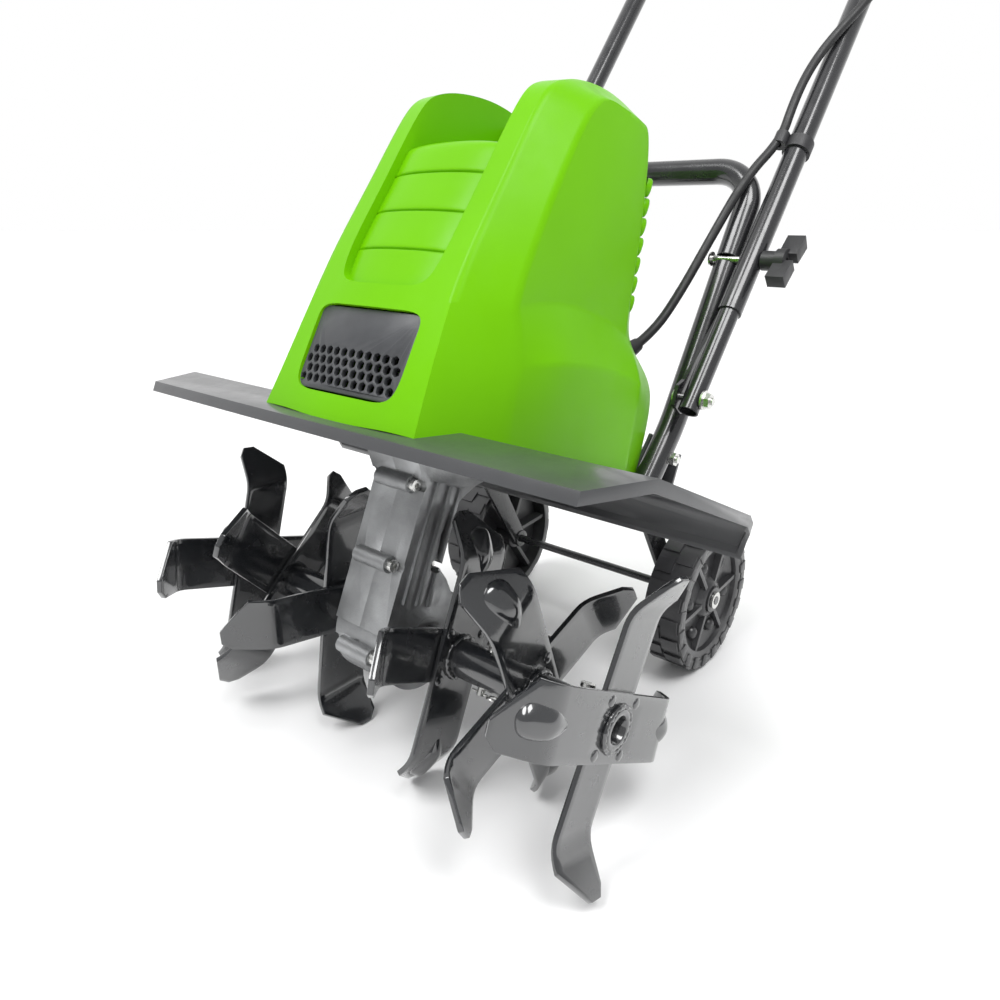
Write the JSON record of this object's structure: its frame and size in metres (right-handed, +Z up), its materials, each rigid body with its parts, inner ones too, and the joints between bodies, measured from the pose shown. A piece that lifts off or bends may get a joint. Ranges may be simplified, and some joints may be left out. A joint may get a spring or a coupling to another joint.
{
  "type": "electric tiller",
  "caption": "Corded electric garden tiller: a green motor hood on a wide deck over bent steel tine stars, two transport wheels and a long folding tube handle with a bail switch lever.",
  "frame": {"origin": "centre of the machine's bounding box on the ground plane, machine parked leaning back on its wheels and its tine tips", "axes": "+Z up, +X to the machine's right as seen from in front of it, -Y the way it drives forwards"},
  "size_m": [0.452, 1.0054, 0.9685],
  "materials": {
    "hood_green": "glossy moulded lime green",
    "deck_grey": "dark grey satin",
    "black_enamel": "gloss black enamel",
    "tine_steel": "gloss black enamel on forged steel",
    "cast_aluminium": "as-cast, satin",
    "zinc": "bright zinc plate",
    "steel": "ground steel",
    "bronze": "machined bronze",
    "lamination": "stacked laminations",
    "copper_winding": "varnished copper",
    "black_plastic": "fine texture black",
    "grille_grey": "dark grey",
    "wheel_plastic": "moulded black",
    "foam": "soft foam",
    "cord_rubber": "matt black sheath",
    "button_green": "glossy lime green"
  },
  "bodies": {
    "chassis": {"gearbox_right_half": "cast_aluminium", "gearbox_left_half": "cast_aluminium", "gearbox_screws": "zinc", "tine_shaft_bearings": "steel", "motor_can": "steel", "motor_stator": "lamination", "motor_end_bracket": "cast_aluminium", "motor_bearings": "steel", "brush_holders": "bronze", "deck": "deck_grey", "deck_screws": "zinc", "hood": "hood_green", "vent_grille": "grille_grey", "rear_vent_cover": "hood_green", "hood_screws": "zinc", "lower_frame": "black_enamel", "frame_bracket_right": "deck_grey", "frame_bracket_left": "deck_grey", "wheel_bracket_right": "black_enamel", "wheel_bracket_left": "black_enamel", "frame_bolts": "zinc", "axle": "black_enamel", "axle_caps": "zinc", "pivot_bolts": "zinc", "power_cable": "cord_rubber", "cable_gland": "cord_rubber"},
    "rotor": {"armature": "copper_winding", "cooling_fan": "black_plastic", "worm_shaft": "steel"},
    "tines": {"tine_shaft": "steel", "worm_wheel": "bronze", "inner_hub_tube_right": "tine_steel", "inner_hub_tube_left": "tine_steel", "tine_star_inner_right": "tine_steel", "tine_star_mid_right": "tine_steel", "tine_star_outer_right": "tine_steel", "tine_star_inner_left": "tine_steel", "tine_star_mid_left": "tine_steel", "tine_star_outer_left": "tine_steel", "hub_pins": "zinc", "hub_pin_clips": "zinc"},
    "right_wheel": {"wheel_right": "wheel_plastic"},
    "left_wheel": {"wheel_left": "wheel_plastic"},
    "handle": {"lower_handle_tube_right": "black_enamel", "lower_handle_tube_left": "black_enamel", "upper_handle": "black_enamel", "foam_grip": "foam", "switch_box_cover": "black_plastic", "switch_box_base": "black_plastic", "switch_box_screws": "zinc", "power_switch": "black_plastic", "power_inlet": "black_plastic", "bail_pins": "zinc", "bail_bracket": "black_enamel", "cable_clips": "black_plastic", "knob_bolts": "zinc"},
    "bail": {"bail_lever": "black_enamel"},
    "button": {"lock_off_button": "button_green"},
    "right_knob": {"wing_knob_right": "black_plastic"},
    "left_knob": {"wing_knob_left": "black_plastic"}
  },
  "joints": [
    {"name": "tine_spin", "type": "hinge", "parent": "chassis", "child": "tines", "pos_m": [0, -0.39949, 0.10334], "axis": [1, 0, 0], "continuous": true},
    {"name": "motor_spin", "type": "hinge", "parent": "chassis", "child": "rotor", "pos_m": [0, -0.42135, 0.11326], "axis": [0, 0.4131, 0.9107], "continuous": true},
    {"name": "right_wheel_spin", "type": "hinge", "parent": "chassis", "child": "right_wheel", "pos_m": [0, -0.13259, 0.06913], "axis": [1, 0, 0], "continuous": true},
    {"name": "left_wheel_spin", "type": "hinge", "parent": "chassis", "child": "left_wheel", "pos_m": [0, -0.13259, 0.06913], "axis": [1, 0, 0], "continuous": true},
    {"name": "handle_fold", "type": "hinge", "parent": "chassis", "child": "handle", "pos_m": [0, -0.1882, 0.26774], "axis": [1, 0, 0], "range_deg": [0, 90], "deforming": ["power_cable"]},
    {"name": "bail_pull", "type": "hinge", "parent": "handle", "child": "bail", "pos_m": [0, 0.40946, 0.92208], "axis": [-1, 0, 0], "range_deg": [0, 22], "stiffness_Nm_per_rad": 1, "springref_deg": -20.05},
    {"name": "lock_button_press", "type": "slide", "parent": "handle", "child": "button", "axis": [0, 0.184, -0.9829], "range_m": [0, 0.0035], "stiffness_N_per_m": 300, "springref_m": -0.003},
    {"name": "right_knob_turn", "type": "hinge", "parent": "handle", "child": "right_knob", "pos_m": [0.1385, -0.10344, 0.37094], "axis": [1, 0, 0], "continuous": true},
    {"name": "left_knob_turn", "type": "hinge", "parent": "handle", "child": "left_knob", "pos_m": [-0.1385, -0.10344, 0.37094], "axis": [1, 0, 0], "continuous": true}
  ],
  "couplings": [
    {"joint": "motor_spin", "follows": "tine_spin", "ratio": 24}
  ]
}
